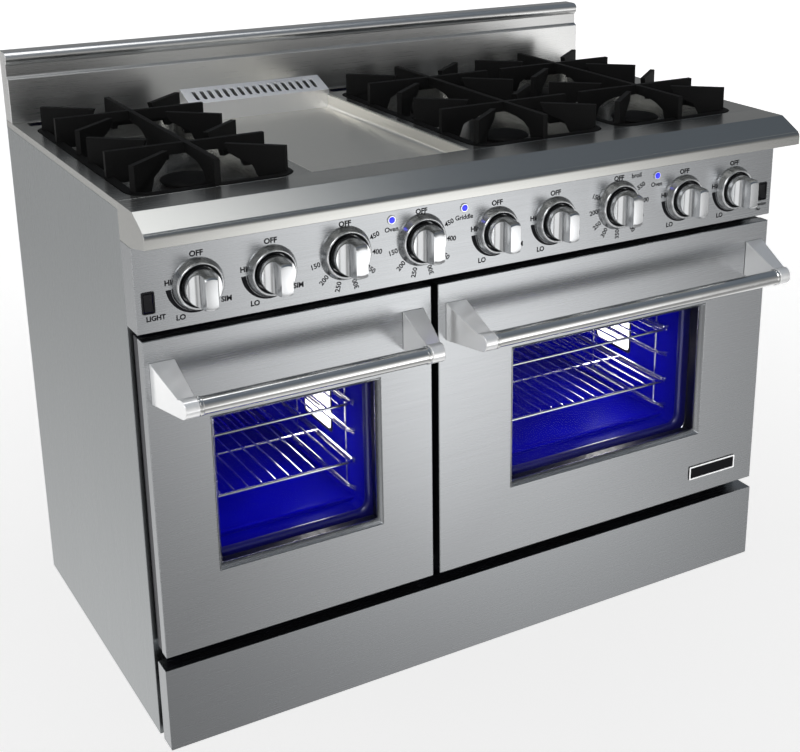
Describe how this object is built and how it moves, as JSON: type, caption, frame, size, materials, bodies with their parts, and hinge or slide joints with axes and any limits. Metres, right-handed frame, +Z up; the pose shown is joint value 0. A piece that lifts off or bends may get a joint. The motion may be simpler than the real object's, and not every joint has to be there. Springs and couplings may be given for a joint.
{
  "type": "freestanding gas range",
  "caption": "Wide freestanding gas range in brushed steel: open burners and a griddle on top, two drop-down oven doors with windows, bar handles and a row of blade-grip knobs.",
  "frame": {"origin": "middle of the bounding box's base, on the floor", "axes": "+Z up, +X to the right seen from the front, +Y towards the wall behind the range"},
  "size_m": [1.216, 0.7746, 1.0385],
  "materials": {
    "side_steel": "fine vertical brush, satin",
    "front_steel": "fine horizontal brush, satin",
    "cooktop_steel": "fine brush along the width, satin",
    "griddle_steel": "ground plate, satin",
    "galvanised_steel": "dull zinc",
    "foot_steel": "plated",
    "cast_iron": "matt black porcelain on iron",
    "burner_iron": "matt black, heat marked",
    "blue_enamel": "gloss cobalt porcelain",
    "black_enamel": "gloss black porcelain",
    "oven_glass": "clear tempered",
    "handle_chrome": "polished",
    "rack_wire": "bright plated wire",
    "knob_steel": "satin to polished",
    "brass": "machined",
    "black_plastic": "moulded",
    "fan_steel": "pressed"
  },
  "bodies": {
    "root": {"left_side_panel": "side_steel", "right_side_panel": "side_steel", "control_panel": "front_steel", "kick_panel": "front_steel", "front_ledge": "front_steel", "cooktop": "cooktop_steel", "backguard": "cooktop_steel", "griddle_guard": "cooktop_steel", "rear_panel": "galvanised_steel", "base_pan": "galvanised_steel", "front_left_foot": "foot_steel", "front_right_foot": "foot_steel", "rear_left_foot": "foot_steel", "rear_right_foot": "foot_steel", "left_front_burner": "burner_iron", "left_rear_burner": "burner_iron", "middle_front_burner": "burner_iron", "middle_rear_burner": "burner_iron", "right_front_burner": "burner_iron", "right_rear_burner": "burner_iron", "left_oven_liner": "blue_enamel", "right_oven_liner": "blue_enamel", "gas_manifold": "brass"},
    "left_door": {"left_door_skin": "front_steel", "left_door_liner": "black_enamel", "left_door_glass": "oven_glass", "left_door_handle": "handle_chrome"},
    "right_door": {"right_door_skin": "front_steel", "right_door_liner": "black_enamel", "right_door_glass": "oven_glass", "right_door_handle": "handle_chrome"},
    "left_upper_rack": {"left_upper_rack": "rack_wire"},
    "left_lower_rack": {"left_lower_rack": "rack_wire"},
    "right_upper_rack": {"right_upper_rack": "rack_wire"},
    "right_lower_rack": {"right_lower_rack": "rack_wire"},
    "left_grate": {"left_grate": "cast_iron"},
    "middle_grate": {"middle_grate": "cast_iron"},
    "right_grate": {"right_grate": "cast_iron"},
    "griddle_plate": {"griddle_plate": "griddle_steel"},
    "light_switch": {"light_switch": "black_plastic"},
    "fan_switch": {"fan_switch": "black_plastic"},
    "convection_fan": {"convection_fan": "fan_steel"},
    "burner_1_stem": {"burner_1_stem": "brass"},
    "burner_2_stem": {"burner_2_stem": "brass"},
    "left_oven_stem": {"left_oven_stem": "brass"},
    "griddle_stem": {"griddle_stem": "brass"},
    "burner_3_stem": {"burner_3_stem": "brass"},
    "burner_4_stem": {"burner_4_stem": "brass"},
    "right_oven_stem": {"right_oven_stem": "brass"},
    "burner_5_stem": {"burner_5_stem": "brass"},
    "burner_6_stem": {"burner_6_stem": "brass"},
    "burner_1_knob": {"burner_1_knob": "knob_steel"},
    "burner_2_knob": {"burner_2_knob": "knob_steel"},
    "left_oven_knob": {"left_oven_knob": "knob_steel"},
    "griddle_knob": {"griddle_knob": "knob_steel"},
    "burner_3_knob": {"burner_3_knob": "knob_steel"},
    "burner_4_knob": {"burner_4_knob": "knob_steel"},
    "right_oven_knob": {"right_oven_knob": "knob_steel"},
    "burner_5_knob": {"burner_5_knob": "knob_steel"},
    "burner_6_knob": {"burner_6_knob": "knob_steel"}
  },
  "joints": [
    {"name": "left_door_hinge", "type": "hinge", "parent": "root", "child": "left_door", "pos_m": [-0.3625, -0.2777, 0.1896], "axis": [1, 0, 0], "range_deg": [0, 90], "stiffness_Nm_per_rad": 18, "springref_deg": -11.46},
    {"name": "right_door_hinge", "type": "hinge", "parent": "root", "child": "right_door", "pos_m": [0.2476, -0.2777, 0.1896], "axis": [1, 0, 0], "range_deg": [0, 90], "stiffness_Nm_per_rad": 26, "springref_deg": -11.46},
    {"name": "left_upper_rack_slide", "type": "slide", "parent": "root", "child": "left_upper_rack", "axis": [0, -1, 0], "range_m": [0, 0.03]},
    {"name": "left_lower_rack_slide", "type": "slide", "parent": "root", "child": "left_lower_rack", "axis": [0, -1, 0], "range_m": [0, 0.03]},
    {"name": "right_upper_rack_slide", "type": "slide", "parent": "root", "child": "right_upper_rack", "axis": [0, -1, 0], "range_m": [0, 0.03]},
    {"name": "right_lower_rack_slide", "type": "slide", "parent": "root", "child": "right_lower_rack", "axis": [0, -1, 0], "range_m": [0, 0.03]},
    {"name": "left_grate_lift", "type": "slide", "parent": "root", "child": "left_grate", "axis": [0, 0, 1], "range_m": [0, 0.06]},
    {"name": "middle_grate_lift", "type": "slide", "parent": "root", "child": "middle_grate", "axis": [0, 0, 1], "range_m": [0, 0.06]},
    {"name": "right_grate_lift", "type": "slide", "parent": "root", "child": "right_grate", "axis": [0, 0, 1], "range_m": [0, 0.06]},
    {"name": "griddle_plate_lift", "type": "slide", "parent": "root", "child": "griddle_plate", "axis": [0, 0, 1], "range_m": [0, 0.06]},
    {"name": "light_switch_rock", "type": "hinge", "parent": "root", "child": "light_switch", "pos_m": [-0.5885, -0.2795, 0.7695], "axis": [1, 0, 0], "range_deg": [0, 14]},
    {"name": "fan_switch_rock", "type": "hinge", "parent": "root", "child": "fan_switch", "pos_m": [0.5875, -0.2795, 0.7695], "axis": [1, 0, 0], "range_deg": [0, 14]},
    {"name": "convection_fan_spin", "type": "hinge", "parent": "root", "child": "convection_fan", "pos_m": [0.25, 0.2635, 0.5], "axis": [0, 1, 0], "continuous": true},
    {"name": "burner_1_turn", "type": "hinge", "parent": "root", "child": "burner_1_stem", "pos_m": [-0.512, -0.2845, 0.786], "axis": [0, -1, 0], "range_deg": [0, 240]},
    {"name": "burner_2_turn", "type": "hinge", "parent": "root", "child": "burner_2_stem", "pos_m": [-0.395, -0.2845, 0.786], "axis": [0, -1, 0], "range_deg": [0, 240]},
    {"name": "left_oven_turn", "type": "hinge", "parent": "root", "child": "left_oven_stem", "pos_m": [-0.271, -0.2845, 0.793], "axis": [0, -1, 0], "range_deg": [0, 300]},
    {"name": "griddle_turn", "type": "hinge", "parent": "root", "child": "griddle_stem", "pos_m": [-0.136, -0.2845, 0.793], "axis": [0, -1, 0], "range_deg": [0, 300]},
    {"name": "burner_3_turn", "type": "hinge", "parent": "root", "child": "burner_3_stem", "pos_m": [0.006, -0.2845, 0.786], "axis": [0, -1, 0], "range_deg": [0, 240]},
    {"name": "burner_4_turn", "type": "hinge", "parent": "root", "child": "burner_4_stem", "pos_m": [0.122, -0.2845, 0.786], "axis": [0, -1, 0], "range_deg": [0, 240]},
    {"name": "right_oven_turn", "type": "hinge", "parent": "root", "child": "right_oven_stem", "pos_m": [0.254, -0.2845, 0.793], "axis": [0, -1, 0], "range_deg": [0, 320]},
    {"name": "burner_5_turn", "type": "hinge", "parent": "root", "child": "burner_5_stem", "pos_m": [0.399, -0.2845, 0.786], "axis": [0, -1, 0], "range_deg": [0, 240]},
    {"name": "burner_6_turn", "type": "hinge", "parent": "root", "child": "burner_6_stem", "pos_m": [0.515, -0.2845, 0.786], "axis": [0, -1, 0], "range_deg": [0, 240]},
    {"name": "burner_1_push", "type": "slide", "parent": "burner_1_stem", "child": "burner_1_knob", "axis": [0, 1, 0], "range_m": [0, 0.003], "stiffness_N_per_m": 700},
    {"name": "burner_2_push", "type": "slide", "parent": "burner_2_stem", "child": "burner_2_knob", "axis": [0, 1, 0], "range_m": [0, 0.003], "stiffness_N_per_m": 700},
    {"name": "left_oven_push", "type": "slide", "parent": "left_oven_stem", "child": "left_oven_knob", "axis": [0, 1, 0], "range_m": [0, 0.003], "stiffness_N_per_m": 700},
    {"name": "griddle_push", "type": "slide", "parent": "griddle_stem", "child": "griddle_knob", "axis": [0, 1, 0], "range_m": [0, 0.003], "stiffness_N_per_m": 700},
    {"name": "burner_3_push", "type": "slide", "parent": "burner_3_stem", "child": "burner_3_knob", "axis": [0, 1, 0], "range_m": [0, 0.003], "stiffness_N_per_m": 700},
    {"name": "burner_4_push", "type": "slide", "parent": "burner_4_stem", "child": "burner_4_knob", "axis": [0, 1, 0], "range_m": [0, 0.003], "stiffness_N_per_m": 700},
    {"name": "right_oven_push", "type": "slide", "parent": "right_oven_stem", "child": "right_oven_knob", "axis": [0, 1, 0], "range_m": [0, 0.003], "stiffness_N_per_m": 700},
    {"name": "burner_5_push", "type": "slide", "parent": "burner_5_stem", "child": "burner_5_knob", "axis": [0, 1, 0], "range_m": [0, 0.003], "stiffness_N_per_m": 700},
    {"name": "burner_6_push", "type": "slide", "parent": "burner_6_stem", "child": "burner_6_knob", "axis": [0, 1, 0], "range_m": [0, 0.003], "stiffness_N_per_m": 700}
  ]
}
